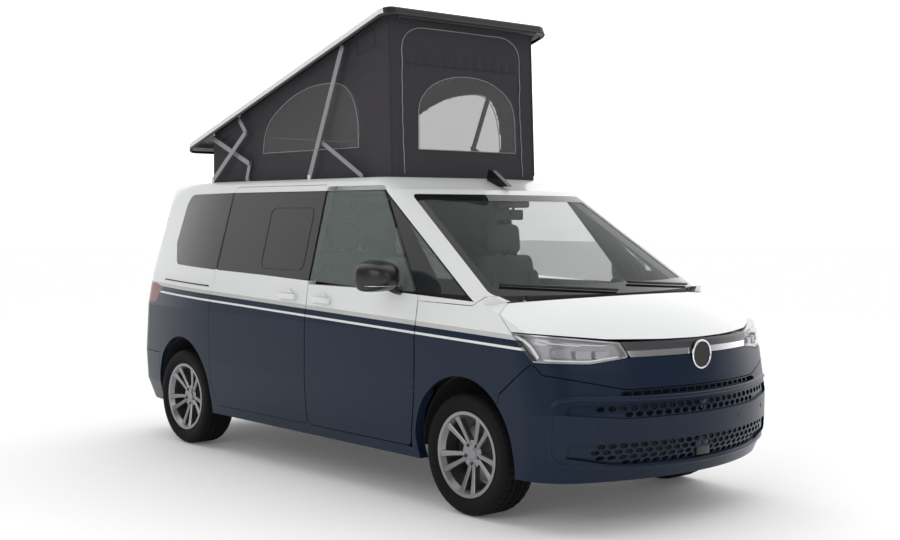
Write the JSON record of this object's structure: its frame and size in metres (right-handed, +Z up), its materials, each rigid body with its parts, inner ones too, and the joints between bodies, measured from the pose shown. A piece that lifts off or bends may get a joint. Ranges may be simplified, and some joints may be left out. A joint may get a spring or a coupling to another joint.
{
  "type": "camper van with pop-up roof",
  "caption": "Two-tone camper van with a raised front-lifting pop-up roof, cloth tent, scissor linkage, hinged front doors, bonnet, tailgate, steered and rolling wheels",
  "frame": {"origin": "middle of the bounding box at ground level", "axes": "+X forward, +Y to the left side, +Z up"},
  "size_m": [4.973, 2.38, 2.9895],
  "materials": {
    "white_paint": "gloss",
    "navy_paint": "gloss",
    "black_trim": "satin",
    "gloss_black": "gloss",
    "clear_glass": "clear",
    "dark_glass": "tinted",
    "lamp_clear": "clear",
    "lamp_inner": "gloss",
    "lamp_red": "gloss",
    "chrome_trim": "polished",
    "alloy": "satin",
    "tyre_rubber": "matte",
    "roof_cloth": "woven",
    "seat_cloth": "woven",
    "underbody": "matte",
    "cabin_plastic": "matte",
    "cabinet": "satin"
  },
  "bodies": {
    "van": {"side_frame_left": "navy_paint", "side_frame_right": "navy_paint", "sliding_door_left": "navy_paint", "sliding_door_right": "navy_paint", "sliding_door_glass": "dark_glass", "fixed_side_glass": "dark_glass", "roof_panel": "white_paint", "windscreen": "clear_glass", "cowl_panel": "black_trim", "front_fenders": "navy_paint", "headlamps": "lamp_clear", "headlamp_units": "lamp_inner", "light_bar": "chrome_trim", "nose_panel": "navy_paint", "badge_disc": "gloss_black", "front_bumper": "navy_paint", "bumper_grilles": "navy_paint", "rear_bumper": "navy_paint", "tail_lamps": "lamp_red", "floor_pan": "underbody", "wheel_arch_liners": "black_trim", "front_subframe": "underbody", "engine_block": "underbody", "fuel_tank": "underbody", "rear_axle": "underbody", "dashboard": "cabin_plastic", "steering_wheel": "cabin_plastic", "front_seats": "seat_cloth", "rear_seats": "seat_cloth", "kitchen_unit": "cabinet", "roof_antenna": "gloss_black", "roof_tent": "roof_cloth"},
    "left_door": {"front_door_left": "navy_paint", "front_door_glass_left": "clear_glass", "mirror_left": "gloss_black"},
    "right_door": {"front_door_right": "navy_paint", "front_door_glass_right": "clear_glass", "mirror_right": "gloss_black"},
    "bonnet_lid": {"bonnet": "white_paint"},
    "tailgate_door": {"tailgate": "navy_paint", "tailgate_glass": "dark_glass"},
    "left_steer": {"knuckle_left": "underbody"},
    "right_steer": {"knuckle_right": "underbody"},
    "front_left_wheel": {"wheel_front_left": "alloy", "tyre_front_left": "tyre_rubber"},
    "front_right_wheel": {"wheel_front_right": "alloy", "tyre_front_right": "tyre_rubber"},
    "rear_left_wheel": {"wheel_rear_left": "alloy", "tyre_rear_left": "tyre_rubber"},
    "rear_right_wheel": {"wheel_rear_right": "alloy", "tyre_rear_right": "tyre_rubber"},
    "raised_roof": {"roof_lid": "white_paint"},
    "roof_arm_pair": {"roof_arms": "alloy"},
    "roof_link_pair": {"roof_links": "alloy"},
    "scissor_a_bars": {"scissor_bars_a": "alloy"},
    "scissor_a_links": {"scissor_links_a": "alloy"},
    "scissor_b_bars": {"scissor_bars_b": "alloy"},
    "scissor_b_links": {"scissor_links_b": "alloy"}
  },
  "joints": [
    {"name": "roof_lift", "type": "hinge", "parent": "van", "child": "raised_roof", "pos_m": [-2.5581, 0, 1.955], "axis": [0, 1, 0], "range_deg": [0, 17.66], "deforming": ["roof_tent"]},
    {"name": "roof_arm_swing", "type": "hinge", "parent": "van", "child": "roof_arm_pair", "pos_m": [-0.3145, 0, 1.945], "axis": [0, 1, 0], "range_deg": [0, 66.28]},
    {"name": "roof_link_fold", "type": "hinge", "parent": "roof_arm_pair", "child": "roof_link_pair", "pos_m": [-0.21073, 0, 2.18012], "axis": [0, -1, 0], "range_deg": [0, 94.2]},
    {"name": "scissor_bar_a_swing", "type": "hinge", "parent": "van", "child": "scissor_a_bars", "pos_m": [-1.5585, 0, 1.945], "axis": [0, 1, 0], "range_deg": [0, 35.06]},
    {"name": "scissor_link_a_swing", "type": "hinge", "parent": "raised_roof", "child": "scissor_a_links", "pos_m": [-1.2158, 0, 2.3698], "axis": [0, -1, 0], "range_deg": [0, 72.84]},
    {"name": "scissor_link_b_swing", "type": "hinge", "parent": "van", "child": "scissor_b_links", "pos_m": [-1.1625, 0, 1.945], "axis": [0, 1, 0], "range_deg": [0, 59.32]},
    {"name": "scissor_bar_b_swing", "type": "hinge", "parent": "raised_roof", "child": "scissor_b_bars", "pos_m": [-1.5943, 0, 2.2493], "axis": [0, -1, 0], "range_deg": [0, 42.75]},
    {"name": "steer_left", "type": "hinge", "parent": "van", "child": "left_steer", "pos_m": [1.5315, 0.735, 0.265], "axis": [0, 0, 1], "range_deg": [-33, 33]},
    {"name": "steer_right", "type": "hinge", "parent": "van", "child": "right_steer", "pos_m": [1.5315, -0.735, 0.265], "axis": [0, 0, 1], "range_deg": [-33.1, 33.1]},
    {"name": "spin_front_left", "type": "hinge", "parent": "left_steer", "child": "front_left_wheel", "pos_m": [1.5315, 0.815, 0.346], "axis": [0, 1, 0], "continuous": true},
    {"name": "spin_front_right", "type": "hinge", "parent": "right_steer", "child": "front_right_wheel", "pos_m": [1.5315, -0.815, 0.346], "axis": [0, 1, 0], "continuous": true},
    {"name": "spin_rear_left", "type": "hinge", "parent": "van", "child": "rear_left_wheel", "pos_m": [-1.5925, 0.815, 0.346], "axis": [0, 1, 0], "continuous": true},
    {"name": "spin_rear_right", "type": "hinge", "parent": "van", "child": "rear_right_wheel", "pos_m": [-1.5925, -0.815, 0.346], "axis": [0, 1, 0], "continuous": true},
    {"name": "left_door_open", "type": "hinge", "parent": "van", "child": "left_door", "pos_m": [1.1225, 0.964, 0.83], "axis": [0, 0, -1], "range_deg": [0, 65]},
    {"name": "right_door_open", "type": "hinge", "parent": "van", "child": "right_door", "pos_m": [1.1225, -0.964, 0.83], "axis": [0, 0, 1], "range_deg": [0, 65]},
    {"name": "bonnet_open", "type": "hinge", "parent": "van", "child": "bonnet_lid", "pos_m": [1.7715, 0, 1.205], "axis": [0, -1, 0], "range_deg": [0, 50]},
    {"name": "tailgate_open", "type": "hinge", "parent": "van", "child": "tailgate_door", "pos_m": [-2.3485, 0, 1.8415], "axis": [0, 1, 0], "range_deg": [0, 85]}
  ],
  "couplings": [
    {"joint": "roof_arm_swing", "follows": "roof_lift", "ratio": 3.7477},
    {"joint": "roof_link_fold", "follows": "roof_lift", "ratio": 5.3284},
    {"joint": "scissor_bar_a_swing", "follows": "roof_lift", "ratio": 1.9797},
    {"joint": "scissor_link_a_swing", "follows": "roof_lift", "ratio": 4.1189},
    {"joint": "scissor_link_b_swing", "follows": "roof_lift", "ratio": 3.3531},
    {"joint": "scissor_bar_b_swing", "follows": "roof_lift", "ratio": 2.415},
    {"joint": "steer_right", "follows": "steer_left", "ratio": 1}
  ]
}
